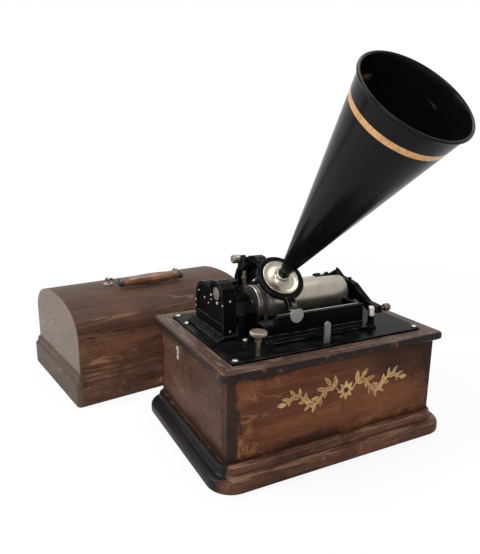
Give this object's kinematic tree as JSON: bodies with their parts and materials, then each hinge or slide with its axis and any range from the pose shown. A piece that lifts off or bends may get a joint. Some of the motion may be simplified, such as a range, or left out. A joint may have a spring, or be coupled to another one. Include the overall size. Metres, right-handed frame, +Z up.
{
  "type": "cylinder phonograph",
  "caption": "Spring-driven cylinder phonograph in an oak case, with belt-driven mandrel, feed-screw carriage, conical horn, hinged end gate and a separate arched lid.",
  "frame": {"origin": "centre of the case's underside", "axes": "+X along the mandrel to the right end, +Y to the back, +Z up"},
  "size_m": [0.5117, 0.6418, 0.4347],
  "materials": {
    "oak": "varnished oak",
    "oak_dark": "dark varnished oak",
    "black_japan": "glossy black japanned iron",
    "nickel": "nickel plated, satin",
    "steel": "bright steel",
    "brass": "worn brass",
    "cast_iron": "oiled cast iron",
    "belt_leather": "brown leather",
    "horn_black": "glossy black enamelled sheet",
    "turned_wood": "varnished turned wood"
  },
  "bodies": {
    "case": {"base_moulding": "oak_dark", "bottom_board": "oak", "case_front": "oak", "case_back": "oak", "case_left": "oak", "case_right": "oak", "top_moulding": "oak", "bedplate": "black_japan", "bedplate_screw_back_right": "nickel", "bedplate_screw_back_left": "nickel", "bedplate_screw_front_left": "nickel", "bedplate_screw_front_right": "nickel", "upper_casting": "black_japan", "straight_edge": "nickel", "gear_housing": "black_japan", "mandrel_bearing": "black_japan", "right_bracket": "black_japan", "back_rod": "nickel", "gate_hinge_post": "black_japan", "latch_post": "nickel", "motor_frame": "cast_iron", "drive_belt": "belt_leather"},
    "mandrel_line": {"mandrel": "nickel", "mandrel_shaft": "steel", "mandrel_pulley": "nickel", "mandrel_flange": "black_japan", "mandrel_gear": "brass"},
    "idler": {"idler_gear": "brass"},
    "feed_line": {"feed_screw": "steel", "feed_gear": "brass"},
    "motor_pulley": {"motor_pulley": "steel"},
    "barrel": {"spring_barrel": "brass"},
    "winding_arbor": {"winding_arbor": "steel"},
    "governor": {"governor_shaft": "steel", "governor_weights": "brass"},
    "crank": {"crank_shaft": "steel", "crank_arm": "nickel"},
    "crank_grip": {"crank_grip": "turned_wood"},
    "carriage": {"carriage_sleeve": "black_japan"},
    "lift_arm": {"carriage_arm": "black_japan", "feed_nut": "brass", "reproducer_plate": "nickel", "reproducer_body": "nickel", "lift_screw": "nickel"},
    "horn": {"horn_neck": "black_japan", "horn": "horn_black"},
    "stylus_weight": {"stylus_weight": "brass"},
    "lift_lever": {"lift_lever": "nickel"},
    "shaver_knob": {"shaver_knob": "nickel"},
    "speed_screw": {"speed_screw": "brass"},
    "start_lever": {"start_lever": "steel"},
    "end_gate": {"end_gate": "black_japan", "gate_centre": "nickel"},
    "latch_thumbscrew": {"latch_thumbscrew": "nickel"},
    "lid": {"lid_moulding": "oak_dark", "lid_shell": "oak", "lid_eye_left": "steel", "lid_eye_right": "steel"},
    "lid_bail": {"lid_bail": "steel"},
    "lid_grip": {"lid_grip": "turned_wood"}
  },
  "joints": [
    {"name": "mandrel_spin", "type": "hinge", "parent": "case", "child": "mandrel_line", "pos_m": [0, 0.005, 0.166], "axis": [1, 0, 0], "continuous": true},
    {"name": "idler_spin", "type": "hinge", "parent": "case", "child": "idler", "pos_m": [0, 0.0205, 0.15183], "axis": [1, 0, 0], "continuous": true},
    {"name": "feed_spin", "type": "hinge", "parent": "case", "child": "feed_line", "pos_m": [0, 0.036, 0.166], "axis": [1, 0, 0], "continuous": true},
    {"name": "motor_pulley_spin", "type": "hinge", "parent": "case", "child": "motor_pulley", "pos_m": [0, 0.005, 0.08], "axis": [1, 0, 0], "continuous": true},
    {"name": "barrel_spin", "type": "hinge", "parent": "case", "child": "barrel", "pos_m": [0, 0.026, 0.062], "axis": [1, 0, 0], "continuous": true},
    {"name": "governor_spin", "type": "hinge", "parent": "case", "child": "governor", "pos_m": [0, -0.044, 0.095], "axis": [1, 0, 0], "continuous": true},
    {"name": "crank_turn", "type": "hinge", "parent": "case", "child": "crank", "pos_m": [0, 0.00126, 0.07], "axis": [1, 0, 0], "continuous": true},
    {"name": "winding_turn", "type": "hinge", "parent": "case", "child": "winding_arbor", "pos_m": [0, 0.026, 0.062], "axis": [1, 0, 0], "continuous": true},
    {"name": "crank_grip_spin", "type": "hinge", "parent": "crank", "child": "crank_grip", "pos_m": [0.175, 0.00126, 0.014], "axis": [1, 0, 0], "continuous": true},
    {"name": "carriage_slide", "type": "slide", "parent": "case", "child": "carriage", "axis": [1, 0, 0], "range_m": [0, 0.08]},
    {"name": "carriage_lift", "type": "hinge", "parent": "carriage", "child": "lift_arm", "pos_m": [-0.058, 0.0525, 0.172], "axis": [-1, 0, 0], "range_deg": [0, 35]},
    {"name": "horn_swivel", "type": "hinge", "parent": "lift_arm", "child": "horn", "pos_m": [-0.0372, -0.025, 0.201], "axis": [0.0397, -0.6885, 0.7242], "continuous": true},
    {"name": "stylus_weight_swing", "type": "hinge", "parent": "lift_arm", "child": "stylus_weight", "pos_m": [-0.03838, -0.00448, 0.19972], "axis": [0.9983, 0.0576, 0], "range_deg": [0, 8]},
    {"name": "lift_lever_turn", "type": "hinge", "parent": "lift_arm", "child": "lift_lever", "pos_m": [-0.0372, -0.05657, 0.177], "axis": [0, 1, 0], "range_deg": [0, 40]},
    {"name": "shaver_knob_turn", "type": "hinge", "parent": "lift_arm", "child": "shaver_knob", "pos_m": [-0.06, 0.034, 0.2155], "axis": [1, 0, 0], "continuous": true},
    {"name": "speed_screw_turn", "type": "hinge", "parent": "case", "child": "speed_screw", "pos_m": [-0.096, -0.0795, 0.1345], "axis": [0, 0, 1], "range_deg": [-180, 180]},
    {"name": "start_lever_swing", "type": "hinge", "parent": "case", "child": "start_lever", "pos_m": [-0.0065, -0.081, 0.11], "axis": [0, 1, 0], "range_deg": [-8, 8]},
    {"name": "gate_swing", "type": "hinge", "parent": "case", "child": "end_gate", "pos_m": [0.083, 0.046, 0.16], "axis": [0, 0, 1], "range_deg": [0, 95]},
    {"name": "latch_thumbscrew_turn", "type": "hinge", "parent": "end_gate", "child": "latch_thumbscrew", "pos_m": [0.079, -0.061, 0.1577], "axis": [1, 0, 0], "continuous": true},
    {"name": "lid_lift_off", "type": "slide", "parent": "case", "child": "lid", "axis": [0, 0, 1], "range_m": [0, 0.25]},
    {"name": "lid_bail_swing", "type": "hinge", "parent": "lid", "child": "lid_bail", "pos_m": [-0.11536, 0.26837, 0.1487], "axis": [-0.9903, -0.1392, 0], "range_deg": [0, 170]},
    {"name": "lid_grip_spin", "type": "hinge", "parent": "lid_bail", "child": "lid_grip", "pos_m": [-0.11119, 0.23866, 0.1487], "axis": [0.9903, 0.1392, 0], "continuous": true}
  ],
  "couplings": [
    {"joint": "idler_spin", "follows": "mandrel_spin", "ratio": -1.625},
    {"joint": "feed_spin", "follows": "mandrel_spin", "ratio": 1},
    {"joint": "motor_pulley_spin", "follows": "mandrel_spin", "ratio": 1},
    {"joint": "barrel_spin", "follows": "mandrel_spin", "ratio": -0.27907},
    {"joint": "governor_spin", "follows": "mandrel_spin", "ratio": -3},
    {"joint": "winding_turn", "follows": "crank_turn", "ratio": -0.44444}
  ]
}
